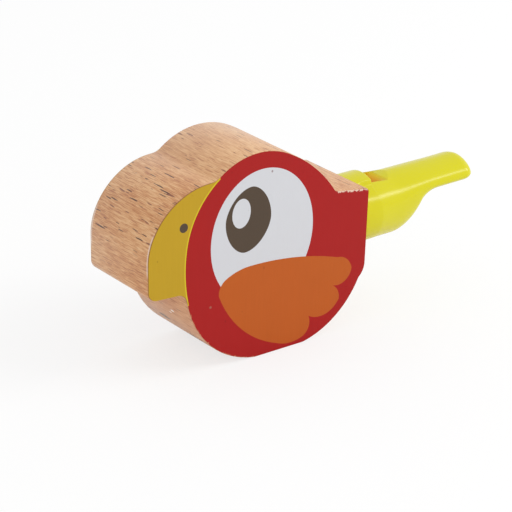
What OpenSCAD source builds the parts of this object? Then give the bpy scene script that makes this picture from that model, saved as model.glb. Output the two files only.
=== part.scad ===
// Bird call: a painted beech bird whose tail is a plastic whistle that slides in a blind bore.
// The beak points to -X, the mouthpiece to +X, the faces are painted at -Y and +Y, and the bird
// stands on the flat of its belly, whose middle is the origin.

/* [Wooden block] */
// Thickness of the board that the bird is sawn from
block_t = 24; // [22:0.5:30]
// Length of the flat that the bird stands on
base_flat = 14.6; // [12:0.2:16]
// How far below the flat the belly's curve on the beak's side would reach
belly_left_sag = 0.27; // [0.2:0.01:0.4]
// Radius of the belly on the beak's side
belly_left_r = 23.5; // [22.8:0.1:24.2]
// How far the belly bulges between the flat and the tail
belly_right_bulge = 2.55; // [2.4:0.05:2.7]

/* [Tail] */
// Distance from the middle of the flat to the top of the tail's end face
tail_x = 26.8; // [26.4:0.1:28]
// Height of the top of the tail's end face
tail_top_z = 35.75; // [35.7:0.05:37]
// Slope of the tail's top
tail_slope = 9; // [7:0.5:11]
// Lean of the tail's end face
tail_lean = 1.8; // [0:0.1:3]
// Height at which the belly runs into the tail's lower corner
tail_kink_z = 12.9; // [12.4:0.1:13.4]
// Distance of that place from the tail's end face
tail_kink_in = 1.7; // [1.3:0.1:2.1]
// Radius of the tail's lower corner
tail_low_r = 5; // [4.4:0.1:5.4]
// Radius of the tail's upper corner
tail_high_r = 0.9; // [0.5:0.1:1.5]
// Radius of the hollow between the tail and the back of the head
dip_r = 1; // [0.5:0.1:2]

/* [Head] */
// Radius of the crown of the head
crown_r = 18.95; // [18:0.05:20]
// Distance of the crown's centre behind the middle of the flat
crown_x = 6.4; // [5.5:0.1:7.5]
// Height of the crown's centre
crown_z = 33.2; // [32.5:0.1:34]
// Radius of the back of the head
nape_r = 36.5; // [34:0.5:39]
// Direction in which the crown runs into the back of the head
nape_angle = 64; // [60:1:68]

/* [Beak] */
// Distance from the middle of the flat to the front of the beak
beak_x = 37.7; // [36.5:0.1:39]
// Height at which the beak's front and underside would meet
beak_low_z = 22.15; // [21.5:0.05:22.8]
// Slope of the beak's underside, down towards the throat
beak_slope = 3; // [0:0.5:5]
// Radius of the top of the beak
beak_top_r = 18; // [17:0.1:19]
// Radius of the front of the beak
beak_front_r = 14.7; // [13.8:0.1:15.6]
// Direction in which the top of the beak runs into its front
beak_angle = 154; // [150:1:158]
// Height of the centre of the beak's top curve
beak_z = 29.6; // [29:0.1:30.4]
// Radius of the beak's lower corner
beak_corner_r = 2.4; // [1.5:0.1:3]
// Radius of the hollow between beak and belly
throat_r = 2.8; // [2:0.1:3.4]
// Radius of the hollow between beak and crown
notch_r = 4; // [2:0.5:6]

/* [Paint] */
// Thickness of each paint layer
paint_t = 0.12; // [0.08:0.01:0.3]
// Bare margin between the paint and the block's edge
paint_margin = 0.1; // [0.05:0.05:0.6]
// Width of the strip of mustard between the red and the notch
strip_w = 0.35; // [0.1:0.05:0.6]
// Length of that strip past the notch
strip_l = 1.2; // [0.4:0.1:2]
// Distance from the crown's centre to that of the line between red and mustard, towards the tail
mask_fore = 2.4; // [2:0.1:2.8]
// Distance from the crown's centre down to that of the same line
mask_drop = 4; // [3.6:0.1:4.4]
// Radius of the lower stretch of the line between red and mustard
cheek_r = 37.6; // [35:0.1:41]
// Direction in which the upper stretch runs into the lower one
cheek_angle = 171; // [168:1:174]

/* [Eye] */
// Width of the white patch
patch_w = 29.9; // [28:0.1:31]
// Height of the white patch
patch_h = 33.8; // [32:0.1:34.5]
// Distance from the crown's centre to the patch's, towards the tail
patch_fore = 1.1; // [0.6:0.1:1.6]
// Distance from the crown's centre down to the patch's
patch_drop = 2.2; // [1.8:0.1:2.6]
// Width of the pupil
pupil_w = 13.2; // [11:0.1:14]
// Height of the pupil
pupil_h = 16.3; // [14:0.1:17]
// Distance from the patch's centre to the pupil's, towards the beak
pupil_back = 4.15; // [3.8:0.05:4.6]
// Distance from the patch's centre up to the pupil's
pupil_up = 5.1; // [4.6:0.1:5.4]
// Lean of the pupil
pupil_lean = 9.5; // [0:0.5:12]
// Width of the glint
glint_w = 5.3; // [4:0.1:6]
// Height of the glint
glint_h = 7.3; // [6:0.1:8]
// Lean of the glint
glint_lean = 5; // [0:0.5:10]
// Distance from the pupil's centre to the glint's, towards the beak
glint_back = 2.05; // [1.6:0.05:2.4]
// Distance from the pupil's centre up to the glint's
glint_up = 2; // [1.5:0.05:2.4]
// Diameter of the nostril
nostril_d = 2.3; // [1.5:0.1:3]
// Distance from the front of the beak to the nostril
nostril_in = 9.85; // [9.4:0.05:10.2]
// Distance from the centre of the beak's top curve up to the nostril
nostril_up = 8.75; // [7.5:0.05:9.3]

/* [Wing] */
// Distance from the wing's longest lobe to the tail's end face
wing_tail_gap = 4.8; // [4.6:0.1:6]
// Distance from the wing's top to the lowest point of an upright pupil
wing_eye_gap = 3.65; // [3.4:0.05:4.2]
// Distance of the wing's front end behind the middle of the flat
wing_x = 17.9; // [17.6:0.05:18.2]
// Height of the wing's lowest point
wing_z = 1; // [0.8:0.05:1.2]

/* [Whistle] */
// Outer diameter of the tube
tube_d = 17.7; // [17.2:0.1:17.8]
// Inner diameter of the tube
tube_bore_d = 13.8; // [13.4:0.1:14]
// Height of the tube's axis above the flat
tube_z = 25.85; // [25.7:0.05:25.9]
// Gap all round between the tube and its bore in the wood
slide_gap = 0.05; // [0.02:0.01:0.1]
// Length of bare tube between the wood and the tube's rim
bare_l = 7.5; // [7:0.1:12]
// Travel of the tube into the wood
travel_in = 6; // [4:0.5:6.5]
// Travel of the tube out of the wood
travel_out = 9; // [6:0.5:10]
// Space left between the tube and the bore's end when it is pushed right in
end_gap = 0.3; // [0.3:0.1:1]

/* [Mouthpiece] */
// Length from the tube's rim to the tip
mouth_l = 32; // [30:0.5:36]
// Width at the tip
mouth_tip_w = 13.4; // [12.8:0.1:14]
// Depth by which each side is drawn in halfway along
waist = 0.95; // [0.6:0.05:1.1]
// Drop from the tube's crown to the mouthpiece's, at the rim
crown_drop = 1.2; // [1:0.1:1.6]
// Fall of the mouthpiece's crown from the rim to the tip
crown_fall = 0.3; // [0:0.05:0.5]
// Sag of the mouthpiece's crown halfway along
crown_sag = 0.3; // [0:0.05:0.4]
// Thickness of the flat bit
bit_t = 6.85; // [6.6:0.05:7.2]
// Distance from the rim to where the underside starts to rise
belly_l = 7.25; // [7:0.05:7.6]
// Radius of the underside where it turns up
belly_r = 8; // [7.4:0.1:8.2]
// Radius of the underside where it turns into the bit
chin_r = 6.1; // [5.4:0.1:6.2]
// Steepest slope of the underside
rise_angle = 69.5; // [64:0.5:70]
// Length over which the widest line climbs to the bit's
climb_l = 18.8; // [17:0.1:21]
// Length over which one form of section turns into the next
form_l = 9; // [8:0.5:10]
// Length of the rounding at the tip
tip_l = 2.7; // [2.2:0.1:3.6]
// Step from the tube down to the mouthpiece at its sides
seam = 0.02; // [0.01:0.01:0.1]

/* [Airway] */
// Width of the window
window_w = 7; // [6.6:0.1:7.4]
// Distance from the rim to the top of the window's ramp
window_l = 7; // [6.4:0.1:7.6]
// Cut-up: distance from the rim to the airway's end
cut_up = 3.2; // [2.8:0.1:3.6]
// Width of the airway
airway_w = 6; // [5:0.1:6.2]
// Height of the airway where the air leaves it
airway_h = 1.4; // [1.1:0.1:1.5]
// Height of the airway at the mouth
mouth_h = 2; // [1.6:0.1:2.2]
// Height of the airway's floor above the tube's axis
airway_up = 3.3; // [3.1:0.1:3.5]
// Wall between the mouthpiece's chamber and its crown
chamber_wall = 1.2; // [1:0.05:1.3]
// Length of the plug under the airway
plug_l = 3; // [2:0.1:3.4]
// Length of the wedge inside the lip
lip_l = 6.3; // [4:0.1:7]
// Depth of the lip below the inside of the tube's crown
lip_drop = 2.9; // [2.7:0.1:3]
// Thickness of the lip's edge
lip_edge = 0.7; // [0.4:0.1:1]

/* [Seal and stop] */
// Width of the seal's groove
seal_w = 2.2; // [1.6:0.1:3]
// Depth of the seal's groove
seal_depth = 0.9; // [0.6:0.05:1]
// Gap round the seal's section
seal_gap = 0.05; // [0.03:0.01:0.08]
// Gap between the seal and the bore in the wood
seal_touch = 0.02; // [0.01:0.01:0.04]
// Wall of tube left beyond each groove
land_w = 1.5; // [1.2:0.1:2.5]
// Diameter of the stop pin
pin_d = 3; // [2:0.1:3]
// Distance of the stop pin in front of the middle of the flat
pin_x = 5.5; // [4.5:0.1:5.6]
// Depth of the guide groove under the tube
guide_depth = 1; // [0.7:0.05:1.1]
// Gap between the pin and the groove's sides and floor
guide_gap = 0.15; // [0.1:0.05:0.3]
// Recess of the pin's end above the flat
pin_recess = 0.3; // [0.1:0.1:1]
// Gap round the pin in its hole
pin_fit = 0.02; // [0.01:0.01:0.04]

/* [Hidden] */

// Number of steps in a whole turn, along an outline's arc and round a section of the mouthpiece
turn_steps = 96;
arc_steps = 14;
ring_steps = 48;
// Number of steps along each stretch of the mouthpiece
rim_steps = 7;
rise_steps = 18;
bit_steps = 7;
tip_steps = 9;
// Extra reach of every cut past the face that it opens
overrun = 1;

// Shapes of the mouthpiece and of the pupil, as powers and as shares of their own sizes
round_power = 2;
crown_power = 1.7;
belly_power = 2.24;
bit_power = 1.8;
widest_share = 0.62;
tip_width_share = 0.68;
tip_height_share = 0.62;
tip_power = 1.75;
pupil_power = 1.77;

// Places worked out from the sizes above
tube_r = tube_d / 2;
tube_bore_r = tube_bore_d / 2;
rim_x = tail_x + bare_l;
tip_x = rim_x + mouth_l;
pin_r = pin_d / 2;
guide_r = pin_r + guide_gap;
guide_in_x = pin_x + travel_in;
guide_out_x = pin_x - travel_out;
seal_x = guide_out_x - guide_r - land_w - seal_w;
tube_end_x = seal_x - land_w;
bore_end_x = tube_end_x - travel_in - end_gap;
tube_low_z = tube_z - tube_r;
body_low_z = tube_low_z + seam;
airway_z = tube_z + airway_up;
airway_top_z = airway_z + airway_h;
airway_x = rim_x + cut_up;
ramp_x = rim_x + window_l;
plug_end_x = airway_x + plug_l;
// Runs and rises of the underside's two arcs and of the straight between them
belly_run = belly_r * sin(rise_angle);
belly_rise = belly_r * (1 - cos(rise_angle));
chin_run = chin_r * sin(rise_angle);
chin_rise = chin_r * (1 - cos(rise_angle));
// The chamber's roof follows the mouthpiece's crown at one wall's distance
roof_r = tube_bore_r + chamber_wall;
roof_z = mouth_crown(plug_end_x) - chamber_wall - roof_r;
ramp_run_shares = (ramp_x - airway_x) / (mouth_crown(ramp_x) - airway_top_z);
// Middle of the airway at the mouth, halfway up the tip's flat end
mouth_z = mouth_mid(tip_x) + bit_t * tip_height_share * (widest_share - 1 / 2);

// Outline of the wing: every second point is the middle of an arc, in shares of its size
wing_shares = [
    [0, 0.758], [0.013, 0.857], [0.05, 0.92],
    [0.13, 0.974], [0.23, 0.996],
    [0.55, 0.955], [0.887, 0.813],
    [0.975, 0.738], [1, 0.646],
    [0.956, 0.527], [0.852, 0.51],
    [0.897, 0.427], [0.905, 0.335],
    [0.83, 0.221], [0.671, 0.242],
    [0.677, 0.129], [0.634, 0.032],
    [0.536, 0], [0.431, 0.041],
    [0.2, 0.268], [0, 0.758]];

// Points along an arc from one direction to another
function arc(centre, radius, from, to) =
    [for (i = [0:arc_steps])
        let (a = from + (to - from) * i / arc_steps)
        centre + radius * [cos(a), sin(a)]];

function direction(from, to) = atan2(to[1] - from[1], to[0] - from[0]);

// Crossing of two circles, on the left of the line from the first centre to the second
function crossing(c1, r1, c2, r2) =
    let (d = norm(c2 - c1),
         along = (d * d + r1 * r1 - r2 * r2) / (2 * d),
         aside = sqrt(r1 * r1 - along * along),
         u = (c2 - c1) / d)
    c1 + along * u + aside * [-u[1], u[0]];

// Centre of the circle through three points
function centre_of(a, b, c) =
    let (u = b - a,
         v = c - a,
         twice = 2 * (u[0] * v[1] - u[1] * v[0]))
    a + [v[1] * (u * u) - u[1] * (v * v), u[0] * (v * v) - v[0] * (u * u)] / twice;

// Arc from a to c by way of b
function arc_through(a, b, c) =
    let (m = centre_of(a, b, c),
         start = direction(m, a),
         turn = (direction(m, c) - start + 720) % 360,
         by_way = (direction(m, b) - start + 720) % 360,
         sweep = by_way < turn ? turn : turn - 360)
    [for (i = [0:arc_steps - 1])
        let (t = start + sweep * i / arc_steps)
        m + norm(a - m) * [cos(t), sin(t)]];

// An ellipse, or an oval that is fuller or slimmer than one
function oval_points(centre, w, h, lean = 0, power = round_power) =
    [for (i = [0:turn_steps - 1])
        let (a = 360 * i / turn_steps,
             x = w / 2 * signed_power(cos(a), 2 / power),
             z = h / 2 * signed_power(sin(a), 2 / power))
        centre + [x * cos(lean) + z * sin(lean), z * cos(lean) - x * sin(lean)]];

// Smooth step from 0 to 1
function ease(t) = let (u = max(0, min(1, t))) u * u * (3 - 2 * u);
function mix(a, b, t) = a + (b - a) * t;
function signed_power(v, p) = sign(v) * pow(abs(v), p);

// Centres of the outline's arcs. Drawing the outline inside its edge keeps them where they are.
belly_left_c = [-base_flat / 2 + half_chord(belly_left_r, belly_left_sag),
                belly_left_r - belly_left_sag];
tail_top_p = [tail_x, tail_top_z];
tail_top_n = [sin(tail_slope), cos(tail_slope)];
tail_end_n = [cos(tail_lean), -sin(tail_lean)];
tail_high_c = corner_centre(tail_top_p, tail_top_n, tail_end_n, tail_high_r);
tail_kink = [tail_x - (tail_top_z - tail_kink_z) * tan(tail_lean) - tail_kink_in / cos(tail_lean),
             tail_kink_z];
tail_low_c = tail_kink - (tail_low_r - tail_kink_in) * tail_end_n
    + half_chord(tail_low_r, tail_kink_in) * [sin(tail_lean), cos(tail_lean)];
belly_right_r = bulged_r([base_flat / 2, 0], tail_kink, belly_right_bulge);
belly_right_c = crossing([base_flat / 2, 0], belly_right_r, tail_kink, belly_right_r);
crown_c = [-crown_x, crown_z];
nape_c = crown_c - (nape_r - crown_r) * [cos(nape_angle), sin(nape_angle)];
dip_c = hollow_centre(tail_top_p, tail_top_n, nape_c, nape_r, dip_r);
beak_front_c = [-beak_x + beak_front_r,
                beak_z + (beak_top_r - beak_front_r) * sin(beak_angle)];
beak_top_c = beak_front_c - (beak_top_r - beak_front_r) * [cos(beak_angle), sin(beak_angle)];
beak_low_p = [-beak_x, beak_low_z];
beak_low_n = [-sin(beak_slope), -cos(beak_slope)];
beak_corner_c = corner_centre(beak_low_p, beak_low_n, [-1, 0], beak_corner_r);
throat_c = hollow_centre(beak_low_p, beak_low_n, belly_left_c, belly_left_r, throat_r);
notch_c = crossing(beak_top_c, beak_top_r + notch_r, crown_c, crown_r + notch_r);

// Centres of the painted shapes, each placed from the one that it sits in
patch_c = crown_c + [patch_fore, -patch_drop];
pupil_c = patch_c + [-pupil_back, pupil_up];
glint_c = pupil_c + [-glint_back, glint_up];
nostril_c = [-beak_x + nostril_in, beak_z + nostril_up];
wing_l = tail_x + wing_x - wing_tail_gap;
wing_h = pupil_c[1] - pupil_h / 2 - wing_eye_gap - wing_z;

// Half the chord that lies a given depth inside a circle
function half_chord(r, depth) = sqrt(depth * (2 * r - depth));

// Radius of the arc between two points that bulges by a given depth
function bulged_r(p, q, depth) = (pow(norm(q - p) / 2, 2) + depth * depth) / (2 * depth);

// Centre of the round on a corner. Each side is given by its outward normal.
function corner_centre(p, n1, n2, r) = p - r / (1 + n1 * n2) * (n1 + n2);

// Centre of the hollow between a circle and the line through p whose outward normal is n
function hollow_centre(p, n, centre, radius, r) =
    let (off = (centre - p) * n - r)
    centre - off * n + sqrt(pow(radius + r, 2) - off * off) * [n[1], -n[0]];

// The bird's outline, drawn a given distance inside its edge
function outline(inset = 0) =
    let (base_left = -sqrt(pow(belly_left_r - inset, 2) - pow(belly_left_c[1] - inset, 2)),
         base_right = sqrt(pow(belly_right_r - inset, 2) - pow(belly_right_c[1] - inset, 2)),
         kink = crossing(tail_low_c, tail_low_r - inset, belly_right_c, belly_right_r - inset),
         throat_angle = direction(throat_c, belly_left_c))
    concat(
        arc(belly_right_c, belly_right_r - inset,
            direction(belly_right_c, [belly_right_c[0] + base_right, inset]),
            direction(belly_right_c, kink)),
        arc(tail_low_c, tail_low_r - inset, direction(tail_low_c, kink), -tail_lean),
        arc(tail_high_c, tail_high_r - inset, -tail_lean, 90 - tail_slope),
        arc(dip_c, dip_r + inset, -90 - tail_slope, direction(dip_c, nape_c)),
        arc(nape_c, nape_r - inset, direction(nape_c, dip_c), nape_angle),
        arc(crown_c, crown_r - inset, nape_angle, direction(crown_c, notch_c)),
        arc(notch_c, notch_r + inset, direction(notch_c, crown_c), direction(notch_c, beak_top_c)),
        arc(beak_top_c, beak_top_r - inset, direction(beak_top_c, notch_c), beak_angle),
        arc(beak_front_c, beak_front_r - inset, beak_angle, 180),
        arc(beak_corner_c, beak_corner_r - inset, 180, 270 - beak_slope),
        arc(throat_c, throat_r + inset, 90 - beak_slope, throat_angle),
        arc(belly_left_c, belly_left_r - inset, 180 + throat_angle,
            360 + direction(belly_left_c, [belly_left_c[0] + base_left, inset])));

// The wing's outline, arc by arc
function wing_outline() =
    let (p = [for (s = wing_shares) [s[0] * wing_l - wing_x, s[1] * wing_h + wing_z]])
    [for (i = [0:2:len(p) - 3]) each arc_through(p[i], p[i + 1], p[i + 2])];

// Puts a drawing of X and Z upright, from the given Y to a thickness further on
module upright(from_y, thickness) {
    translate([0, from_y + thickness, 0])
        rotate([90, 0, 0])
            linear_extrude(thickness)
                children();
}

// The same paint on both faces of the block
module both_faces() {
    upright(-block_t / 2 - paint_t, paint_t) children();
    upright(block_t / 2, paint_t) children();
}

// A round rod along the tube's axis
module rod(from_x, to_x, r) {
    translate([from_x, 0, tube_z])
        rotate([0, 90, 0])
            cylinder(h = to_x - from_x, r = r, $fn = turn_steps);
}

module wood_block() {
    color("burlywood")
        difference() {
            upright(-block_t / 2, block_t) polygon(outline());
            rod(bore_end_x, tail_x + overrun, tube_r + slide_gap);
            translate([pin_x, 0, -overrun])
                cylinder(h = tube_z, r = pin_r + pin_fit, $fn = turn_steps);
        }
}

// Everything on the beak's side of the line between red and mustard
module beak_mask() {
    mask_c = crown_c + [mask_fore, -mask_drop];
    notch = crossing(beak_top_c, beak_top_r, crown_c, crown_r);
    mask_r = norm(notch - mask_c) - strip_w;
    strip_angle = direction(mask_c, notch) - strip_l / mask_r * 180 / PI;
    strip_x = mask_c[0] + mask_r * cos(strip_angle);
    cheek_c = mask_c - (cheek_r - mask_r) * [cos(cheek_angle), sin(cheek_angle)];
    low_z = throat_c[1] - strip_w;
    low_angle = 180 + asin((cheek_c[1] - low_z) / cheek_r);
    far_x = -beak_x - overrun;
    polygon(concat(
        arc(mask_c, mask_r, strip_angle, cheek_angle),
        arc(cheek_c, cheek_r, cheek_angle, low_angle),
        [[far_x, low_z], [far_x, crown_z + crown_r], [strip_x, crown_z + crown_r]]));
}

module patch() {
    polygon(oval_points(patch_c, patch_w, patch_h));
}

module pupil() {
    polygon(oval_points(pupil_c, pupil_w, pupil_h, pupil_lean, pupil_power));
}

module glint() {
    polygon(oval_points(glint_c, glint_w, glint_h, glint_lean));
}

module nostril() {
    translate(nostril_c) circle(d = nostril_d, $fn = turn_steps);
}

module face() {
    polygon(outline(paint_margin));
}

module red_paint() {
    color("firebrick")
        both_faces()
            difference() {
                face();
                beak_mask();
                patch();
                polygon(wing_outline());
            }
}

module beak_paint() {
    color("goldenrod")
        both_faces()
            difference() {
                intersection() {
                    face();
                    beak_mask();
                }
                nostril();
            }
}

module nostril_paint() {
    color("dimgray")
        both_faces()
            nostril();
}

module white_paint() {
    color("gainsboro")
        both_faces()
            difference() {
                patch();
                pupil();
                polygon(wing_outline());
            }
}

module pupil_paint() {
    color("dimgray")
        both_faces()
            difference() {
                pupil();
                glint();
            }
}

module glint_paint() {
    color("white")
        both_faces()
            glint();
}

module wing_paint() {
    color("chocolate")
        both_faces()
            polygon(wing_outline());
}

// Half width of the mouthpiece before its tip is rounded
function mouth_half(x) =
    let (t = (x - rim_x) / mouth_l)
    mix(tube_r - seam, mouth_tip_w / 2, t) - 4 * waist * t * (1 - t);

// Height of the crown, the widest line and the bit's underside at a section
function mouth_crown(x) =
    let (t = (x - rim_x) / mouth_l)
    tube_z + tube_r - crown_drop - crown_fall * t - 4 * crown_sag * t * (1 - t);
function mouth_mid(x) =
    mix(tube_z, mouth_crown(x) - bit_t * widest_share, ease((x - rim_x) / climb_l));
function bit_low(x) = mouth_crown(x) - bit_t;

// Length over which the underside rises to the bit
function rise_run(x) =
    belly_run + chin_run + (bit_low(x) - body_low_z - belly_rise - chin_rise) / tan(rise_angle);

// Height of the underside: level, up round the belly, straight, over round the chin, level
function mouth_low(x) =
    let (along = x - rim_x - belly_l,
         from_chin = rise_run(x) - along)
    along <= 0 ? body_low_z
    : along <= belly_run ? body_low_z + belly_r - sqrt(belly_r * belly_r - along * along)
    : from_chin <= 0 ? bit_low(x)
    : from_chin <= chin_run ? bit_low(x) - chin_r + sqrt(chin_r * chin_r - from_chin * from_chin)
    : body_low_z + belly_rise + (along - belly_run) * tan(rise_angle);

// How full a section is over and under its widest line. It is round at the rim.
function top_power(x) = mix(round_power, crown_power, ease((x - rim_x) / form_l));
function low_power(x) =
    mix(mix(round_power, belly_power, ease((x - rim_x) / form_l)),
        bit_power,
        ease((x - rim_x - belly_l) / form_l - 1 / 2));

// Share of the full section left at a place along the tip
function tip_share(x, least) =
    let (t = max(0, min(1, (x - tip_x + tip_l) / tip_l)))
    mix(least, 1, pow(1 - pow(t, tip_power), 1 / tip_power));

// One section of the mouthpiece, square to X
function mouth_ring(x) =
    let (w = mouth_half(x) * tip_share(x, tip_width_share),
         h = tip_share(x, tip_height_share),
         mid = mouth_mid(x),
         up = (mouth_crown(x) - mid) * h,
         down = (mid - mouth_low(x)) * h)
    [for (i = [0:ring_steps - 1])
        let (a = 360 * i / ring_steps,
             p = 2 / (sin(a) < 0 ? low_power(x) : top_power(x)))
        [x, w * signed_power(cos(a), p), mid + (sin(a) < 0 ? down : up) * signed_power(sin(a), p)]];

// Places of the sections, closest where the underside rises and round the tip
function stretch(from, to, steps) = [for (i = [0:steps - 1]) mix(from, to, i / steps)];
function mouth_places() =
    let (rise_x = rim_x + belly_l,
         chin_x = rise_x + rise_run(rise_x),
         round_x = tip_x - tip_l)
    concat(stretch(rim_x, rise_x, rim_steps),
           stretch(rise_x, chin_x, rise_steps),
           stretch(chin_x, round_x, bit_steps),
           [for (i = [0:tip_steps]) round_x + tip_l * sin(90 * i / tip_steps)]);

module mouth_solid() {
    rings = [for (x = mouth_places()) mouth_ring(x)];
    last = len(rings) - 1;
    polyhedron(
        points = [for (r = rings) each r],
        faces = concat(
            [[for (i = [0:ring_steps - 1]) i]],
            [for (k = [0:last - 1], i = [0:ring_steps - 1])
                let (j = (i + 1) % ring_steps)
                [k * ring_steps + i, (k + 1) * ring_steps + i, (k + 1) * ring_steps + j, k * ring_steps + j]],
            [[for (i = [ring_steps - 1:-1:0]) last * ring_steps + i]]));
}

// Puts a drawing of Y and Z square to the tube's axis, from one X to another
module across(from_x, to_x) {
    translate([from_x, 0, 0])
        rotate([90, 0, 90])
            linear_extrude(to_x - from_x)
                children();
}

// Section of the chamber: the tube's bore, roofed one wall below the mouthpiece's crown
module chamber_section(gap = 0) {
    bore_w = 2 * (tube_bore_r - gap);
    roof_w = 2 * (roof_r - gap);
    intersection() {
        polygon(oval_points([0, tube_z], bore_w, bore_w));
        polygon(oval_points([0, roof_z], roof_w, roof_w));
    }
}

// Window with its ramp, cut into the crown of the mouthpiece
module window_cut() {
    top_z = mouth_crown(ramp_x) + overrun;
    upright(-window_w / 2, window_w)
        polygon([
            [rim_x - overrun, top_z],
            [rim_x - overrun, airway_z],
            [airway_x, airway_z],
            [airway_x, airway_top_z],
            [ramp_x + overrun * ramp_run_shares, top_z]]);
}

// Airway from the mouth to the window
module airway_cut() {
    upright(-airway_w / 2, airway_w)
        polygon([
            [rim_x, airway_z],
            [airway_x, airway_z],
            [tip_x + overrun, mouth_z - mouth_h / 2],
            [tip_x + overrun, mouth_z + mouth_h / 2],
            [airway_x, airway_top_z],
            [rim_x, airway_top_z]]);
}

// The wedge inside the tube's crown whose edge splits the air
module lip() {
    inner_z = tube_z + tube_bore_r;
    top_z = tube_z + (tube_r + tube_bore_r) / 2;
    upright(-window_w / 2, window_w)
        polygon([
            [rim_x, top_z],
            [rim_x, inner_z - lip_drop],
            [rim_x - lip_edge, inner_z - lip_drop],
            [rim_x - lip_l, inner_z],
            [rim_x - lip_l, top_z]]);
}

// Groove under the tube in which the stop pin runs
module guide_groove() {
    translate([guide_out_x, -guide_r, tube_low_z - overrun])
        cube([travel_in + travel_out, 2 * guide_r, guide_depth + overrun]);
    for (x = [guide_out_x, guide_in_x])
        translate([x, 0, tube_low_z - overrun])
            cylinder(h = guide_depth + overrun, r = guide_r, $fn = turn_steps);
}

module seal_groove() {
    difference() {
        rod(seal_x, seal_x + seal_w, tube_r + overrun);
        rod(seal_x - overrun, seal_x + seal_w + overrun, tube_r - seal_depth);
    }
}

module whistle_tube() {
    color("yellow")
        difference() {
            union() {
                difference() {
                    rod(tube_end_x, rim_x, tube_r);
                    rod(tube_end_x - overrun, rim_x + overrun, tube_bore_r);
                }
                lip();
            }
            guide_groove();
            seal_groove();
        }
}

module mouthpiece() {
    color("yellow")
        difference() {
            mouth_solid();
            difference() {
                across(rim_x - overrun, plug_end_x) chamber_section();
                // The roof over the end of the airway stays
                translate([airway_x, -window_w / 2, airway_z])
                    cube([2 * plug_l, window_w, tube_r]);
            }
            window_cut();
            airway_cut();
        }
}

module airway_block() {
    color("khaki")
        difference() {
            across(airway_x, plug_end_x - seal_gap) chamber_section(seal_gap);
            translate([airway_x - overrun, -window_w / 2 - seal_gap, airway_z])
                cube([plug_l + 2 * overrun, window_w + 2 * seal_gap, tube_r]);
        }
}

module seal_ring() {
    color("black")
        difference() {
            rod(seal_x + seal_gap, seal_x + seal_w - seal_gap, tube_r + slide_gap - seal_touch);
            rod(seal_x - overrun, seal_x + seal_w + overrun, tube_r - seal_depth + seal_gap);
        }
}

module stop_pin() {
    color("tan")
        translate([pin_x, 0, pin_recess])
            cylinder(h = tube_low_z + guide_depth - guide_gap - pin_recess, r = pin_r, $fn = turn_steps);
}

wood_block();
whistle_tube();
mouthpiece();
airway_block();
seal_ring();
stop_pin();
red_paint();
white_paint();
pupil_paint();
glint_paint();
wing_paint();
beak_paint();
nostril_paint();
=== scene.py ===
"""A wooden bird call on a white table: camera, light, finishes and the eased and moulded pieces."""
import math

import bmesh
import bpy
from mathutils import Matrix, Vector


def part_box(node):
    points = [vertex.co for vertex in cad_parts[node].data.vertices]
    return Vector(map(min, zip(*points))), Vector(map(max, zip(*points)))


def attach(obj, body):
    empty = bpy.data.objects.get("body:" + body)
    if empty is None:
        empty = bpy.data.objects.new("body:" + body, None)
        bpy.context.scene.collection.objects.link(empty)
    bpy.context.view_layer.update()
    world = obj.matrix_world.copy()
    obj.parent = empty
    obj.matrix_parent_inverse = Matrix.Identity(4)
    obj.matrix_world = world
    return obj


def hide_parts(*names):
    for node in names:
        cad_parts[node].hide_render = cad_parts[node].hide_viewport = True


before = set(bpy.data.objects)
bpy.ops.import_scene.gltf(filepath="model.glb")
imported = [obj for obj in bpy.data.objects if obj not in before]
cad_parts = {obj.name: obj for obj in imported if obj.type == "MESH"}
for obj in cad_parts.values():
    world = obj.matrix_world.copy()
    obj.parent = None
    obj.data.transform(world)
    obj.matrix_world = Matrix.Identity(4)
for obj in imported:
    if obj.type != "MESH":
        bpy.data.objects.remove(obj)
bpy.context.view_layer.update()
MM = 0.001

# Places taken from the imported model, in millimetres
BLOCK_LOW, BLOCK_HIGH = (Vector(corner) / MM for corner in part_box("wood_block"))
TUBE_LOW, TUBE_HIGH = (Vector(corner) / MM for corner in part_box("whistle_tube"))
TUBE_R = (TUBE_HIGH.z - TUBE_LOW.z) / 2
TUBE_Z = (TUBE_HIGH.z + TUBE_LOW.z) / 2
RIM_X = TUBE_HIGH.x
TIP_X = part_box("mouthpiece")[1][0] / MM
FACE_Y = BLOCK_HIGH.y

# Lines of the painted face, in millimetres: arcs as (x, z, radius), and the fall of the tail's top along X
BELLY_ARC = (-3.9, 23.2, 23.4)
BEAK_ARC_HIGH = (-3.99, 29.2, 23.22)
BEAK_ARC_LOW = (10.24, 26.95, 37.63)
BEAK_ARCS_MEET_Z = 33.3
TAIL_TOP_Z, TAIL_FALL = 39.95, 0.1584

# The collar at the tube's rim: its length, the part of it that slopes up, where its sides start and how far
# they take to fade, in degrees from the top, and the rim's rounding
COLLAR_L, COLLAR_SLOPE_L = 6.5, 4.0
COLLAR_EDGE, COLLAR_FADE = 24, 10
COLLAR_RINGS, COLLAR_RAYS = 12, 6
LIP_R, LIP_EDGE, LIP_STEPS = 0.2, 50, 4

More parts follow.
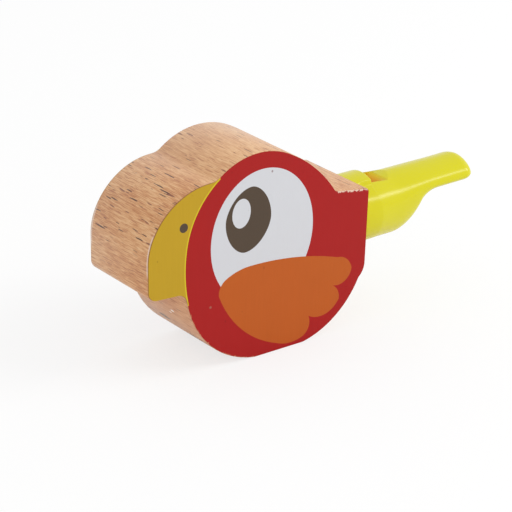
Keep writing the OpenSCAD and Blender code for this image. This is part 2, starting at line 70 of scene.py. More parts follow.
# The mouthpiece's sections
RING = 96                                               # points of a section
SEAM_STEP = 0.02                                        # it lies this far inside the tube at the seam
LAP = 0.6                                               # how far it reaches back into the tube
TIP_W = 13.4
WAIST = 0.95                                            # each side draws in by this, halfway along
CROWN_DROP, CROWN_FALL, CROWN_SAG = 1.2, 0.15, 0.3      # at the rim, from there to the tip, halfway along
BIT_T = 6.85
BELLY_L, BELLY_R, CHIN_R = 7.25, 8.0, 6.1               # level part, arc up from it, arc on to the bit
RISE = math.radians(69.5)                               # slope between those two arcs
RISE_FROM, RISE_TO = BELLY_L - 0.3, BELLY_L + 16.2      # closest sections, from the rim
CLIMB_L, FORM_L = 18.8, 9.0                             # runs over which the widest line and the form change
WIDEST = 0.62                                           # share of the bit's thickness above its widest line
TIP_L, TIP_WIDTH, TIP_HEIGHT, TIP_POWER = 2.7, 0.68, 0.62, 1.75    # rounded end, and what is left at its face
TIP_STEPS = 16
ROUND = 2.0                                             # power of a section that is a true ellipse
CROWN_POWER, BELLY_POWER, BIT_POWER = 1.7, 2.24, 1.8

# What is cut out of the mouthpiece
BORE_R = 6.9
AIRWAY_Z, AIRWAY_H, AIRWAY_W = TUBE_Z + 3.3, 1.4, 6.0
CUT_UP, WINDOW_L, WINDOW_W = 3.2, 7.0, 7.0
WARM_FROM_Z = TUBE_Z + 7.1                              # below this the window's plastic takes a warmer painted light
RAMP_CREST, RAMP_POWER, RAMP_STEPS = 1.0, 1.5, 14
MOUTH_SLOT_H = 2.0
PLUG_L = 3.0
CHAMBER_WALL = 1.2
PAST = 1.0                                              # cutters reach this far past what they cut

OUTSIDE_R = TUBE_R - CROWN_DROP - 0.1                   # what lies farther out is the tube's outside


# Selecting and shaping

def select_only(obj):
    """Leaves one object selected and active."""
    bpy.ops.object.select_all(action="DESELECT")
    obj.select_set(True)
    bpy.context.view_layer.objects.active = obj


def apply_modifiers(obj):
    """Applies every modifier on the object, in order."""
    select_only(obj)
    for name in [m.name for m in obj.modifiers]:
        bpy.ops.object.modifier_apply(modifier=name)


def smooth(obj, degrees):
    """Shades smooth, except across edges sharper than the given angle."""
    select_only(obj)
    bpy.ops.object.shade_smooth_by_angle(angle=math.radians(degrees))


def merge(obj, distance, flat_degrees=0.0):
    """Merges close points and, if asked, joins faces that are almost in one plane."""
    select_only(obj)
    bpy.ops.object.mode_set(mode="EDIT")
    bpy.ops.mesh.select_all(action="SELECT")
    bpy.ops.mesh.remove_doubles(threshold=distance * MM)
    if flat_degrees:
        bpy.ops.mesh.dissolve_limited(angle_limit=math.radians(flat_degrees))
    bpy.ops.object.mode_set(mode="OBJECT")


def ease_edges(obj, width, sharpest):
    """Rounds over the edges that are sharper than the given angle."""
    rounding = obj.modifiers.new("rounding", "BEVEL")
    rounding.width = width * MM
    rounding.segments = 2
    rounding.limit_method = "ANGLE"
    rounding.angle_limit = math.radians(sharpest)
    rounding.use_clamp_overlap = False
    apply_modifiers(obj)


def merged_copy(node, name):
    """A copy of a solid, merged, that can be worked further."""
    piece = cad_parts[node].copy()
    piece.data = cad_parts[node].data.copy()
    piece.name = piece.data.name = name
    piece.parent = None
    bpy.context.scene.collection.objects.link(piece)
    merge(piece, 0.002, flat_degrees=0.3)
    return piece


# Shader maths

class Amount:
    """An output of a shader node. Python's operators on it add Math nodes."""

    def __init__(self, nodes, socket):
        self.nodes = nodes
        self.socket = socket

    def _math(self, operation, *values):
        return self.nodes.node("ShaderNodeMath", {"operation": operation}, values)

    def __add__(self, other):
        return self._math("ADD", self, other)

    def __radd__(self, other):
        return self._math("ADD", other, self)

    def __sub__(self, other):
        return self._math("SUBTRACT", self, other)

    def __rsub__(self, other):
        return self._math("SUBTRACT", other, self)

    def __mul__(self, other):
        return self._math("MULTIPLY", self, other)

    def __rmul__(self, other):
        return self._math("MULTIPLY", other, self)

    def __abs__(self):
        return self._math("ABSOLUTE", self)

    def larger(self, other):
        """The larger of the two."""
        return self._math("MAXIMUM", self, other)

    def less_than(self, edge, blur):
        """1 well under the edge and 0 well over it, with a soft step between."""
        return self.nodes.node("ShaderNodeMapRange", {"interpolation_type": "SMOOTHSTEP"},
                               {"Value": self, "From Min": edge - blur, "From Max": edge + blur,
                                "To Min": 1.0, "To Max": 0.0})

    def more_than(self, edge, blur):
        """0 well under the edge and 1 well over it, with a soft step between."""
        return 1.0 - self.less_than(edge, blur)

    def sibling(self, output):
        """Another output of the same node."""
        return Amount(self.nodes, self.socket.node.outputs[output])


class Nodes:
    """The nodes of a material or a world."""

    def __init__(self, owner):
        owner.use_nodes = True
        self.tree = owner.node_tree
        self.tree.nodes.clear()

    def node(self, kind, settings, inputs, output=0):
        """Adds a node, sets it up, feeds its sockets and returns one of its outputs, if it has any."""
        made = self.tree.nodes.new(kind)
        for key, value in settings.items():
            if key == "stops":
                self._set_stops(made.color_ramp, value)
            else:
                setattr(made, key, value)
        pairs = inputs.items() if isinstance(inputs, dict) else enumerate(inputs)
        for key, value in pairs:
            if isinstance(value, Amount):
                self.tree.links.new(value.socket, made.inputs[key])
            elif made.inputs[key].type == "RGBA":
                made.inputs[key].default_value = (*value, 1.0)
            else:
                made.inputs[key].default_value = value
        return Amount(self, made.outputs[output]) if made.outputs else None

    @staticmethod
    def _set_stops(ramp, stops):
        while len(ramp.elements) < len(stops):
            ramp.elements.new(0.5)
        for element, (place, colour) in zip(ramp.elements, stops):
            element.position = place
            element.color = (*colour, 1.0)


class Finish(Nodes):
    """A material under construction, with one principled surface. Lengths are in millimetres."""

    def __init__(self, name, **constants):
        self.material = bpy.data.materials.new(name)
        super().__init__(self.material)
        named = {socket.replace("_", " "): value for socket, value in constants.items()}
        shader = self.node("ShaderNodeBsdfPrincipled", {}, named)
        self.surface = shader.socket.node
        self.node("ShaderNodeOutputMaterial", {}, {"Surface": shader})
        metres = self.node("ShaderNodeTexCoord", {}, {}, "Object")
        self.place = self.vector("MULTIPLY", metres, (1 / MM, 1 / MM, 1 / MM))

    def feed(self, socket, amount):
        self.tree.links.new(amount.socket, self.surface.inputs[socket])

    def vector(self, operation, *values, output=0):
        return self.node("ShaderNodeVectorMath", {"operation": operation}, values, output)

    def celled(self, size, place=None):
        """The place counted in cells of the given size along X, Y and Z."""
        return self.vector("DIVIDE", place or self.place, size)

    def noise(self, size, detail=2.0, rough=0.5, place=None):
        """Noise from 0 to 1 whose lumps have the given size along X, Y and Z."""
        return self.node("ShaderNodeTexNoise", {},
                         {"Vector": self.celled(size, place), "Scale": 1.0, "Detail": detail,
                          "Roughness": rough}, "Fac")

    def specks(self, size, place=None):
        """Distance in cells to the nearest of scattered points, and that point's own chance, 0 to 1."""
        distance = self.node("ShaderNodeTexVoronoi", {},
                             {"Vector": self.celled(size, place), "Scale": 1.0}, "Distance")
        return distance, self.node("ShaderNodeSeparateColor", {}, {"Color": distance.sibling("Color")})

    def wavered(self, size, depth):
        """The place, shifted a little by noise, so that rows aren't straight."""
        sway = self.noise(size, detail=1.0).sibling("Color")
        shift = self.vector("MULTIPLY", self.vector("SUBTRACT", sway, (0.5, 0.5, 0.5)), depth)
        return self.vector("ADD", self.place, shift)

    def mix(self, amount, first, second):
        """Colour that runs from the first to the second as amount goes from 0 to 1."""
        return self.node("ShaderNodeMix", {"data_type": "RGBA"}, {0: amount, 6: first, 7: second}, 2)

    def ramp(self, amount, stops):
        return self.node("ShaderNodeValToRGB", {"stops": stops}, {"Fac": amount}, "Color")

    def part(self, axis):
        """One coordinate of the place, in millimetres."""
        return self.node("ShaderNodeSeparateXYZ", {}, {"Vector": self.place}, axis)

    def past_arc(self, x, z, radius):
        """How far outside an arc the place lies, seen along Y, given the arc's centre and radius."""
        seen = self.vector("MULTIPLY", self.place, (1, 0, 1))
        return self.vector("DISTANCE", seen, (x, 0, z), output="Value") - radius

    def near(self, place, reach):
        """1 within a small mark at a place, given the mark's half sizes, and 0 beyond it."""
        off = self.vector("SUBTRACT", self.place, place)
        return self.vector("LENGTH", self.celled(reach, off), output="Value").less_than(1, 0.25)

    def bump(self, height, distance):
        """Relief: the height runs from 0 to 1 over the given distance."""
        self.feed("Normal", self.node("ShaderNodeBump", {},
                                      {"Height": height, "Distance": distance * MM}, "Normal"))


def srgb(red, green, blue):
    """A colour written as 0 to 255, as linear light."""
    def linear(value):
        value /= 255
        return value / 12.92 if value <= 0.04045 else ((value + 0.055) / 1.055) ** 2.4
    return tuple(linear(v) for v in (red, green, blue))


# Finishes

PALE_CHIP = srgb(255, 250, 244)
BARE_AT_TAIL, BARE_AT_BELLY = srgb(226, 196, 176), srgb(196, 140, 104)


def beech():
    """Bare sanded beech whose grain runs through the thickness of the block."""
    wood = Finish("bare_beech", Roughness=0.55, IOR=1.45, Sheen_Weight=0.3, Sheen_Roughness=0.5)
    across, along, up = wood.part("X"), wood.part("Y"), wood.part("Z")
    swayed = wood.wavered((2.0, 3.5, 2.0), (0.4, 0.0, 0.4))
    broad = wood.noise((9, 30, 9))
    fibres = wood.noise((0.26, 7.0, 0.26), detail=3.0, rough=0.6, place=swayed)
    hairs = wood.noise((0.15, 3.0, 0.15), detail=2.0, rough=0.6, place=swayed)
    grain = 0.22 * broad + 0.40 * fibres + 0.38 * hairs
    colour = wood.ramp(grain, [(0.42, srgb(184, 120, 72)), (0.5, srgb(209, 152, 101)),
                               (0.58, srgb(225, 179, 130))])

    # Paler under the belly, a painted light from below, and on the crown, a painted sheen
    belly = up.less_than(19, 3) * across.less_than(0, 6)
    colour = wood.mix(0.25 * belly, colour, srgb(204, 152, 130))
    painted_crown_sheen = up.more_than(41, 5) * across.more_than(-22, 6)
    colour = wood.mix(0.2 * painted_crown_sheen, colour, srgb(232, 196, 152))

    # Fine reddish lines
    spot, chance = wood.specks((0.45, 4.0, 0.45), swayed)
    lines = (spot + 0.5 * chance).less_than(0.42, 0.08)
    colour = wood.mix(0.5 * lines, colour, srgb(156, 84, 50))

    # Short dark pores, crowded on the front and the top of the beak
    crowd = across.less_than(-21, 3) * up.more_than(30, 3)
    spot, chance = wood.specks((0.52, 6.5, 0.52), swayed)
    dense = (spot + 0.6 * chance).less_than(0.36, 0.03) * crowd
    thin = (spot + 1.6 * chance).less_than(0.30, 0.04) * (1.0 - crowd)
    colour = wood.mix(0.95 * dense + 0.7 * thin, colour, srgb(72, 34, 18))

    # Wider reddish flecks on the crown and the upper beak
    spot, chance = wood.specks((0.9, 6.0, 0.9), swayed)
    flecks = (spot + 0.5 * chance).less_than(0.28, 0.03) * up.more_than(33, 3)
    colour = wood.mix(0.8 * flecks, colour, srgb(116, 56, 38))

    # A dark fleck and two pale chips in the hollow under the beak, and a dark line of painted shade along the
    # belly's lower edge there, broken up by the grain
    streaks = hairs.more_than(0.42, 0.12)
    fleck = wood.near((-22.5, 3.7, 9.0), (0.8, 2.2, 0.75)) * streaks
    colour = wood.mix(fleck, colour, srgb(50, 36, 38))
    painted_shade_line = wood.near((-19.8, -6.5, 6.0), (1.3, 4.6, 1.3)) * streaks
    colour = wood.mix(0.7 * painted_shade_line, colour, srgb(96, 62, 52))
    colour = wood.mix(0.9 * wood.near((-25.3, -3.6, 13.8), (0.3, 0.7, 0.28)), colour, PALE_CHIP)
    colour = wood.mix(0.9 * wood.near((-24.7, -2.2, 12.9), (0.26, 0.6, 0.22)), colour, PALE_CHIP)

    # Paint drawn into the edge of the beak, and a painted highlight along the eased edge above it
    edge = abs(along).more_than(FACE_Y - 0.16, 0.04)
    beak = across.less_than(-19, 1.5) * up.more_than(19, 1)
    colour = wood.mix(0.8 * edge * beak, colour, srgb(140, 82, 30))
    brow = across.less_than(-31, 1.5) * up.more_than(28.5, 1.2) * up.less_than(38, 1)
    painted_edge_highlight = abs(along).more_than(FACE_Y - 0.6, 0.15) * (1.0 - edge) * brow
    colour = wood.mix(0.6 * painted_edge_highlight, colour, srgb(238, 218, 204))

    wood.feed("Base Color", colour)
    wood.bump(0.5 * hairs + 0.3 * fibres - 0.7 * thin - 0.7 * dense, distance=0.05)
    return wood.material


def dowel():
    """Pale turned dowel whose grain runs up its length."""
    wood = Finish("beech_dowel", Roughness=0.55, IOR=1.45)
    fibres = wood.noise((0.3, 0.3, 6), detail=3.0, rough=0.6)
    wood.feed("Base Color", wood.mix(fibres, srgb(196, 148, 106), srgb(226, 186, 144)))
    wood.bump(fibres, distance=0.04)
    return wood.material


class Paint(Finish):
    """Thin satin paint on end grain, which shows the saw lines and pores through faintly."""

    def __init__(self, name, colour, streak=0.08, speck=0.5):
        super().__init__(name, Roughness=0.45, IOR=1.45, Specular_IOR_Level=0.2)
        saw_lines = self.noise((0.45, 0.45, 9), detail=3.0, rough=0.6)
        cloud = self.noise((9, 9, 9))
        spot, chance = self.specks((1.6, 1.6, 2.6))
        pores = (spot + chance).less_than(0.14, 0.03)
        darker, lighter, pore = (tuple(share * c for c in colour) for share in (1 - streak, 1 + streak, 0.6))
        self.colour = self.mix(0.6 * saw_lines + 0.4 * cloud, darker, lighter)
        self.lay(speck * pores, pore)
        self.bump(0.6 * saw_lines - 0.5 * pores, distance=0.02)

    def lay(self, amount, colour):
        """Lays another colour over the paint where the amount is 1."""
        self.colour = self.mix(amount, self.colour, colour)

    def done(self):
        self.feed("Base Color", self.colour)
        return self.material


def red_paint():
    """Red whose edge is ragged along the tail's top and under the belly."""
    coat = Paint("red_paint", srgb(163, 22, 21))
    x, z = coat.part("X"), coat.part("Z")
    teeth = coat.noise((0.5, 0.5, 1.2), detail=3.0, rough=0.7)
    belly = (coat.past_arc(*BELLY_ARC) + 1.8 * teeth).more_than(0.78, 0.08)
    coat.lay(0.8 * belly * z.less_than(16, 1) * x.less_than(-3, 1), BARE_AT_BELLY)
    tail = (z + TAIL_FALL * x - TAIL_TOP_Z + 2.2 * teeth).more_than(0.75, 0.08)
    coat.lay(tail * x.more_than(17, 0.5), BARE_AT_TAIL)
    coat.lay(0.5 * coat.near((-20.3, -FACE_Y, 16.5), (0.34, 1.0, 0.3)), srgb(160, 122, 104))
    return coat.done()


def white_paint():
    """White with a dark speck in the top of the patch on the shown face."""
    coat = Paint("white_paint", srgb(205, 206, 210), streak=0.025, speck=0.3)
    coat.lay(0.7 * coat.near((-2.7, -FACE_Y, 46.7), (0.25, 1.0, 0.3)), srgb(120, 90, 96))
    return coat.done()


def mustard_paint():
    """Mustard that lies brighter along its border with the red."""
    coat = Paint("mustard_paint", srgb(186, 150, 31))
    high = coat.part("Z").more_than(BEAK_ARCS_MEET_Z, 0.3)
    border = high * coat.past_arc(*BEAK_ARC_HIGH) + (1.0 - high) * coat.past_arc(*BEAK_ARC_LOW)
    coat.lay(0.75 * border.less_than(0.32, 0.1), srgb(212, 198, 36))
    return coat.done()


def yellow_plastic():
    """Glossy moulded plastic, with painted light in the window: brighter, and orange in its depth, where
    light would pass from wall to wall.
    """
    shell = Finish("yellow_plastic", Roughness=0.21, IOR=1.49, Specular_IOR_Level=0.22)
    x, z = shell.part("X"), shell.part("Z")
    outside = shell.mix(shell.noise((14, 14, 14)), srgb(207, 199, 27), srgb(212, 206, 33))
    depth = WARM_FROM_Z - z
    # Painted light in the window: brighter near its top and orange deeper down
    painted_window_light = shell.mix(depth.more_than(1.2, 1.2), srgb(222, 210, 34), srgb(238, 146, 22))
    window = (abs(shell.part("Y")).less_than(WINDOW_W / 2 + 0.05, 0.03) * z.more_than(TUBE_Z, 1)
              * x.more_than(RIM_X - 0.1, 0.1) * x.less_than(RIM_X + WINDOW_L - 0.5, 0.5))
    shell.feed("Base Color", shell.mix(window * depth.more_than(0.48, 0.48), outside, painted_window_light))
    shell.bump(shell.noise((0.4, 0.4, 0.4)), distance=0.0008)
    return shell.material


def rubber():
    """Matt black rubber with a fine grain."""
    seal = Finish("seal_rubber", Roughness=0.6)
    grain = seal.noise((0.3, 0.3, 0.3))
    seal.feed("Base Color", seal.mix(grain, (0.012, 0.012, 0.012), (0.03, 0.03, 0.03)))
    seal.bump(grain, distance=0.01)
    return seal.material


def dress(obj, material):
    obj.data.materials.clear()
    obj.data.materials.append(material)


# Pieces

def wooden_block():
    """The bird's block with its edges eased."""
    block = merged_copy("wood_block", "beech_block")
    ease_edges(block, width=0.12, sharpest=60)
    smooth(block, degrees=30)
    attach(block, "bird")
    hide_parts("wood_block")
    dress(block, beech())


def mix(a, b, t):
    return a + (b - a) * t


def ease(t):
    t = min(1.0, max(0.0, t))
    return t * t * (3 - 2 * t)


def crown(x):
    """Height of the mouthpiece's crown."""
    t = (x - RIM_X) / (TIP_X - RIM_X)
    return TUBE_Z + TUBE_R - CROWN_DROP - CROWN_FALL * t - 4 * CROWN_SAG * t * (1 - t)


def widest(x):
    """Height at which a section is widest."""
    return mix(TUBE_Z, crown(x) - BIT_T * WIDEST, ease((x - RIM_X) / CLIMB_L))


def underside(x):
    """Height of the underside: level, up round the belly, straight, over round the chin, level."""
    low, bit = TUBE_Z - TUBE_R + SEAM_STEP, crown(x) - BIT_T
    belly_run, belly_rise = BELLY_R * math.sin(RISE), BELLY_R * (1 - math.cos(RISE))
    chin_run, chin_rise = CHIN_R * math.sin(RISE), CHIN_R * (1 - math.cos(RISE))
    run = belly_run + chin_run + (bit - low - belly_rise - chin_rise) / math.tan(RISE)
    along = x - RIM_X - BELLY_L
    left = run - along
    if along <= 0:
        return low
    if along <= belly_run:
        return low + BELLY_R - math.sqrt(BELLY_R ** 2 - along ** 2)
    if left <= 0:
        return bit
    if left <= chin_run:
        return bit - CHIN_R + math.sqrt(CHIN_R ** 2 - left ** 2)
    return low + belly_rise + (along - belly_run) * math.tan(RISE)


def section(x):
    """Points of one section of the mouthpiece, square to X. Behind the rim it stays as at the rim."""
    at = max(x, RIM_X)
    t = (at - RIM_X) / (TIP_X - RIM_X)
    end = max(0.0, min(1.0, (at - TIP_X + TIP_L) / TIP_L))
    full = (1 - end ** TIP_POWER) ** (1 / TIP_POWER)
    half = (mix(TUBE_R - SEAM_STEP, TIP_W / 2, t) - 4 * WAIST * t * (1 - t)) * mix(TIP_WIDTH, 1, full)
    height = mix(TIP_HEIGHT, 1, full)
    middle = widest(at)
    formed = ease((at - RIM_X) / FORM_L)
    flattened = ease((at - RIM_X - BELLY_L) / FORM_L - 0.5)
    over = mix(ROUND, CROWN_POWER, formed)
    under = mix(mix(ROUND, BELLY_POWER, formed), BIT_POWER, flattened)
    points = []
    for i in range(RING):
        a = 2 * math.pi * i / RING
        power = 2 / (over if math.sin(a) >= 0 else under)
        reach = crown(at) - middle if math.sin(a) >= 0 else middle - underside(at)
        y = half * math.copysign(abs(math.cos(a)) ** power, math.cos(a))
        z = middle + height * reach * math.copysign(abs(math.sin(a)) ** power, math.sin(a))
        points.append(Vector((x, y, z)) * MM)
    return points


def stations():
    """Places of the sections, closest where the underside rises and round the tip."""
    places = [RIM_X - LAP, RIM_X - LAP / 2, RIM_X]
    for end, steps in ((RIM_X + RISE_FROM, 16), (RIM_X + RISE_TO, 48), (TIP_X - TIP_L, 12)):
        start = places[-1]
        places += [mix(start, end, i / steps) for i in range(1, steps + 1)]
    quarter = [math.pi / 2 * i / TIP_STEPS for i in range(1, TIP_STEPS + 1)]
    return places + [TIP_X - TIP_L * (1 - math.sin(a)) for a in quarter]


def drawn_out(name, places, ring):
    """A disc drawn out from place to place along X, each time to the next section's points."""
    bpy.ops.object.select_all(action="DESELECT")
    bpy.ops.mesh.primitive_circle_add(vertices=RING, radius=TUBE_R * MM, fill_type="NGON")
    solid = bpy.context.active_object
    solid.name = solid.data.name = name
    for vertex, point in zip(solid.data.vertices, ring(places[0])):
        vertex.co = point
    bpy.ops.object.mode_set(mode="EDIT")
    mesh = bmesh.from_edit_mesh(solid.data)
    order = {vertex: i for i, vertex in enumerate(mesh.verts)}
    for x in places[1:]:
        bpy.ops.mesh.extrude_region_move()
        mesh = bmesh.from_edit_mesh(solid.data)
        points = ring(x)
        fresh = {}
        for vertex in (v for v in mesh.verts if v.select):
            ends = [edge.other_vert(vertex) for edge in vertex.link_edges]
            fresh[vertex] = next(order[behind] for behind in ends if not behind.select)
        for vertex, i in fresh.items():
            vertex.co = points[i]
        order = fresh
        bmesh.update_edit_mesh(solid.data)
    bpy.ops.mesh.select_all(action="SELECT")
    bpy.ops.mesh.normals_make_consistent(inside=False)
    bpy.ops.object.mode_set(mode="OBJECT")
    return solid


def slab(name, outline, width):
    """A solid with the given outline in X and Z, as wide as asked along Y."""
    bpy.ops.object.select_all(action="DESELECT")
    bpy.ops.mesh.primitive_circle_add(vertices=len(outline), radius=MM, fill_type="NGON")
    solid = bpy.context.active_object
    solid.name = name
    for vertex, (x, z) in zip(solid.data.vertices, outline):
        vertex.co = Vector((x, -width / 2, z)) * MM
    bpy.ops.object.mode_set(mode="EDIT")
    bpy.ops.mesh.extrude_region_move(TRANSFORM_OT_translate={"value": (0, width * MM, 0)})
    bpy.ops.mesh.select_all(action="SELECT")
    bpy.ops.mesh.normals_make_consistent(inside=False)
    bpy.ops.object.mode_set(mode="OBJECT")
    return solid


def rod(name, from_x, to_x, z, radius):
    """A round rod along X, with its place in its mesh."""
    bpy.ops.object.select_all(action="DESELECT")
    bpy.ops.mesh.primitive_cylinder_add(vertices=128, radius=radius * MM, depth=(to_x - from_x) * MM,
                                        location=((from_x + to_x) / 2 * MM, 0, z * MM),
                                        rotation=(0, math.pi / 2, 0))
    solid = bpy.context.active_object
    solid.name = name
    bpy.ops.object.transform_apply(location=True, rotation=True, scale=True)
    return solid


def combine(solid, other, operation):
    """Cuts or intersects a solid with another, which is used up."""
    step = solid.modifiers.new("step", "BOOLEAN")
    step.operation = operation
    step.solver = "EXACT"
    step.object = other
    apply_modifiers(solid)
    bpy.data.objects.remove(other)


def from_tube_axis(vertex):
    """A vertex's distance from the tube's axis, in millimetres."""
    return math.hypot(vertex.co.y, vertex.co.z - TUBE_Z * MM) / MM


def turned(vertex):
    """How far round the tube from its top a vertex lies, to either side."""
    return math.atan2(abs(vertex.co.y), vertex.co.z - TUBE_Z * MM)


def set_radius(vertex, r):
    """Moves a vertex straight out from the tube's axis, or in, to a radius in millimetres."""
    share = r / from_tube_axis(vertex)
    vertex.co.y *= share
    vertex.co.z = mix(TUBE_Z * MM, vertex.co.z, share)


def score_outside(obj, cuts):
    """Scores the tube's outside along planes, each given by an X on the tube's axis and its normal."""
    select_only(obj)
    bpy.ops.object.mode_set(mode="EDIT")
    for x, normal in cuts:
        mesh = bmesh.from_edit_mesh(obj.data)
        for face in mesh.faces:
            outside = min(from_tube_axis(v) for v in face.verts) > OUTSIDE_R
            face.select_set(outside and abs(face.normal.x) < 0.9)
        bmesh.update_edit_mesh(obj.data)
        bpy.ops.mesh.bisect(plane_co=Vector((x, 0, TUBE_Z)) * MM, plane_no=normal)
    bpy.ops.object.mode_set(mode="OBJECT")


def whistle_barrel(yellow):
    """The tube, whose round crown stands up as a collar between sides that run on into the mouthpiece."""
    barrel = merged_copy("whistle_tube", "whistle_barrel")
    square = (1, 0, 0)
    rings = [(RIM_X - COLLAR_L + COLLAR_L * i / COLLAR_RINGS, square) for i in range(COLLAR_RINGS)]
    turns = [math.radians(COLLAR_EDGE + COLLAR_FADE * i / (COLLAR_RAYS - 1)) for i in range(COLLAR_RAYS)]
    rays = [(RIM_X, (0, math.cos(turn), -math.sin(turn) * side)) for turn in turns for side in (1, -1)]
    score_outside(barrel, rings + rays)
    merge(barrel, 0.06)
    for vertex in barrel.data.vertices:
        past = vertex.co.x / MM - RIM_X + COLLAR_L
        if past > 0 and vertex.co.z > TUBE_Z * MM and from_tube_axis(vertex) > OUTSIDE_R:
            turn = turned(vertex)
            low_r = TUBE_R - CROWN_DROP + SEAM_STEP
            side_r = 1 / math.hypot(math.sin(turn) / TUBE_R, math.cos(turn) / low_r)
            beside = ease((math.degrees(turn) - COLLAR_EDGE) / COLLAR_FADE)
            set_radius(vertex, mix(TUBE_R, side_r, ease(past / COLLAR_SLOPE_L) * beside))

    # The rim's rounded edge, which dies away down the sides
    angles = [math.pi / 2 * i / LIP_STEPS for i in range(LIP_STEPS)]
    score_outside(barrel, [(RIM_X - LIP_R * (1 - math.sin(a)), square) for a in angles])
    for vertex in barrel.data.vertices:
        past = vertex.co.x / MM - RIM_X + LIP_R
        if past > 0 and from_tube_axis(vertex) > OUTSIDE_R:
            inward = LIP_R - math.sqrt(max(0, LIP_R ** 2 - past ** 2))
            rounded = 1 - ease((math.degrees(turned(vertex)) - LIP_EDGE) / COLLAR_FADE)
            set_radius(vertex, from_tube_axis(vertex) - rounded * inward)
    smooth(barrel, degrees=40)
    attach(barrel, "whistle")
    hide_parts("whistle_tube")
    dress(barrel, yellow)


def air_chamber(airway_x):
    """The room that the plug closes, under a roof that follows the crown and keeps the airway's floor."""
    plug_x, roof_r = airway_x + PLUG_L, BORE_R + CHAMBER_WALL
    roof_z = crown(plug_x) - CHAMBER_WALL - roof_r
    chamber = rod("chamber", RIM_X - PAST, plug_x, TUBE_Z, BORE_R)
    combine(chamber, rod("roof", RIM_X - 2 * PAST, plug_x + PAST, roof_z, roof_r), "INTERSECT")
    kept = [(airway_x, AIRWAY_Z), (plug_x + PAST, AIRWAY_Z),
            (plug_x + PAST, TUBE_Z + TUBE_R), (airway_x, TUBE_Z + TUBE_R)]
    combine(chamber, slab("kept_roof", kept, WINDOW_W), "DIFFERENCE")
    return chamber


def window(airway_x):
    """The window past the rim: a floor level with the airway's, a step, then a ramp up to the crown."""
    ramp_end, airway_top = RIM_X + WINDOW_L + RAMP_CREST, AIRWAY_Z + AIRWAY_H
    top = crown(RIM_X + WINDOW_L) + PAST
    outline = [(RIM_X - PAST, top), (RIM_X - PAST, AIRWAY_Z), (airway_x, AIRWAY_Z), (airway_x, airway_top)]
    for i in range(1, RAMP_STEPS + 1):
        x = mix(airway_x, ramp_end, i / RAMP_STEPS)
        below = (crown(x) - airway_top) * (1 - i / RAMP_STEPS) ** RAMP_POWER
        outline.append((x, crown(x) + SEAM_STEP - below))
    outline.append((ramp_end + PAST / 2, top))
    return slab("window", outline, WINDOW_W)


def airway(airway_x):
    """The slot from the mouth at the tip, narrowing to the window."""
    mouth_x, mouth_z = TIP_X + PAST, widest(TIP_X) + BIT_T * TIP_HEIGHT * (WIDEST - 0.5)
    outline = [(RIM_X, AIRWAY_Z), (airway_x, AIRWAY_Z),
               (mouth_x, mouth_z - MOUTH_SLOT_H / 2), (mouth_x, mouth_z + MOUTH_SLOT_H / 2),
               (airway_x, AIRWAY_Z + AIRWAY_H), (RIM_X, AIRWAY_Z + AIRWAY_H)]
    return slab("airway", outline, AIRWAY_W)


def mouthpiece(yellow):
    """The moulded mouthpiece with its window, its airway and the chamber that the plug closes."""
    shell = drawn_out("moulded_mouthpiece", stations(), section)
    for hollow in (air_chamber, window, airway):
        combine(shell, hollow(RIM_X + CUT_UP), "DIFFERENCE")
    merge(shell, 0.02)
    ease_edges(shell, width=0.1, sharpest=75)
    smooth(shell, degrees=40)
    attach(shell, "whistle")
    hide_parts("mouthpiece")
    dress(shell, yellow)


def finish_nodes(yellow):
    """Finishes of the solids that show as they are."""
    white = white_paint()
    brown = Paint("brown_paint", srgb(80, 66, 53)).done()
    for node, material in (("red_paint", red_paint()),
                           ("white_paint", white),
                           ("glint_paint", white),
                           ("pupil_paint", brown),
                           ("nostril_paint", brown),
                           ("wing_paint", Paint("orange_paint", srgb(183, 88, 26)).done()),
                           ("beak_paint", mustard_paint()),
                           ("airway_block", yellow),
                           ("seal_ring", rubber()),
                           ("stop_pin", dowel())):
        dress(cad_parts[node], material)


# Table, light and camera

TABLE_SIZE = 6.0
TABLE_WHITE = (0.95, 0.95, 0.95)
TABLE_GLOW = 0.72                       # share of plain white in what the camera sees of the table
SKY_STRENGTH = 0.86
PLAIN_WHITE = (1.0, 1.0, 1.0)
WHISTLE_MIDDLE = Vector((50, 0, 30)) * MM
STRIP_LENGTH, STRIP_WIDTH, STRIP_ENERGY, STRIP_DISTANCE = 0.8, 0.11, 2.6, 0.8
STRIP_SIDE, STRIP_RUN = Vector((0.65, -0.51, 0.58)), Vector((0.83, 0.44, -0.34))
PITCH, YAW, ROLL = math.radians(23.19), math.radians(36.91), math.radians(0.65)
LENS, SENSOR = 158.69, 36.0
CAMERA_PLACE = Vector((-300.1, -402.1, 235.3)) * MM


def table():
    """A white table that shows white to the camera, with a soft part of the object's shadow."""
    bpy.ops.object.select_all(action="DESELECT")
    bpy.ops.mesh.primitive_plane_add(size=TABLE_SIZE, location=(0, 0, BLOCK_LOW.z * MM))
    floor = bpy.context.active_object
    floor.name = "table"
    top = bpy.data.materials.new("table_top")
    nodes = Nodes(top)
    matt = nodes.node("ShaderNodeBsdfDiffuse", {}, {"Color": TABLE_WHITE})
    glow = nodes.node("ShaderNodeEmission", {}, {"Color": PLAIN_WHITE})
    share = TABLE_GLOW * nodes.node("ShaderNodeLightPath", {}, {}, "Is Camera Ray")
    both = nodes.node("ShaderNodeMixShader", {}, {"Fac": share, 1: matt, 2: glow})
    nodes.node("ShaderNodeOutputMaterial", {}, {"Surface": both})
    dress(floor, top)


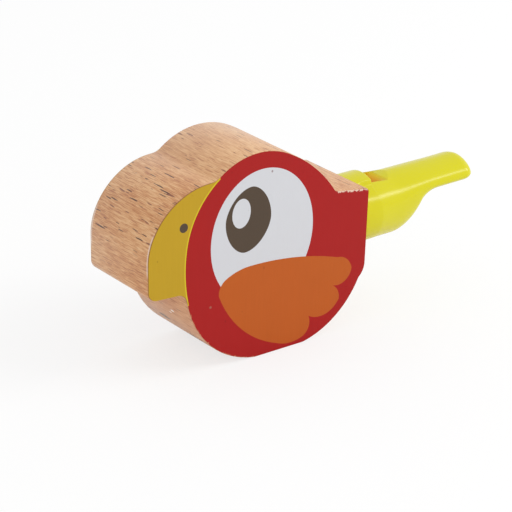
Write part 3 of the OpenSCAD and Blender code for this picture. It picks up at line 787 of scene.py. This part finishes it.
def sky():
    """Even light all round that shows white to the camera and in reflections."""
    world = bpy.data.worlds.new("studio")
    bpy.context.scene.world = world
    nodes = Nodes(world)
    seen = nodes.node("ShaderNodeLightPath", {}, {}, "Is Camera Ray")
    for ray in ("Is Glossy Ray", "Is Transmission Ray"):
        seen = seen.larger(nodes.node("ShaderNodeLightPath", {}, {}, ray))
    level = nodes.node("ShaderNodeMapRange", {}, {"Value": seen, "To Min": SKY_STRENGTH, "To Max": 1.0})
    light = nodes.node("ShaderNodeBackground", {}, {"Color": PLAIN_WHITE, "Strength": level})
    nodes.node("ShaderNodeOutputWorld", {}, {"Surface": light})


def stand(name, data, place, axes):
    """Puts a lamp or a camera at a place, with its own X, Y and Z along the given axes."""
    holder = bpy.data.objects.new(name, data)
    bpy.context.scene.collection.objects.link(holder)
    holder.matrix_world = Matrix.Translation(place) @ Matrix(axes).transposed().to_4x4()
    return holder


def strip_light():
    """A long narrow lamp, turned so that the whistle mirrors it as one line from rim to tip."""
    away = STRIP_SIDE.normalized()
    run = (STRIP_RUN - away * STRIP_RUN.dot(away)).normalized()
    lamp = bpy.data.lights.new("strip", "AREA")
    lamp.shape = "RECTANGLE"
    lamp.size, lamp.size_y = STRIP_LENGTH, STRIP_WIDTH
    lamp.energy = STRIP_ENERGY
    stand("strip", lamp, WHISTLE_MIDDLE + away * STRIP_DISTANCE, (run, away.cross(run), away))


def camera():
    """The photograph's view: a long lens from the beak's side, a little above."""
    forward = Vector((math.sin(YAW) * math.cos(PITCH), math.cos(YAW) * math.cos(PITCH), -math.sin(PITCH)))
    level = Vector((math.cos(YAW), -math.sin(YAW), 0.0))
    upright = level.cross(forward)
    right = level * math.cos(ROLL) + upright * math.sin(ROLL)
    up = upright * math.cos(ROLL) - level * math.sin(ROLL)
    lens = bpy.data.cameras.new("camera")
    lens.lens, lens.sensor_width = LENS, SENSOR
    bpy.context.scene.camera = stand("camera", lens, CAMERA_PLACE, (right, up, -forward))


bpy.ops.object.select_all(action="DESELECT")
yellow = yellow_plastic()
wooden_block()
whistle_barrel(yellow)
mouthpiece(yellow)
finish_nodes(yellow)
table()
sky()
strip_light()
camera()
bpy.context.scene.view_settings.view_transform = "Standard"
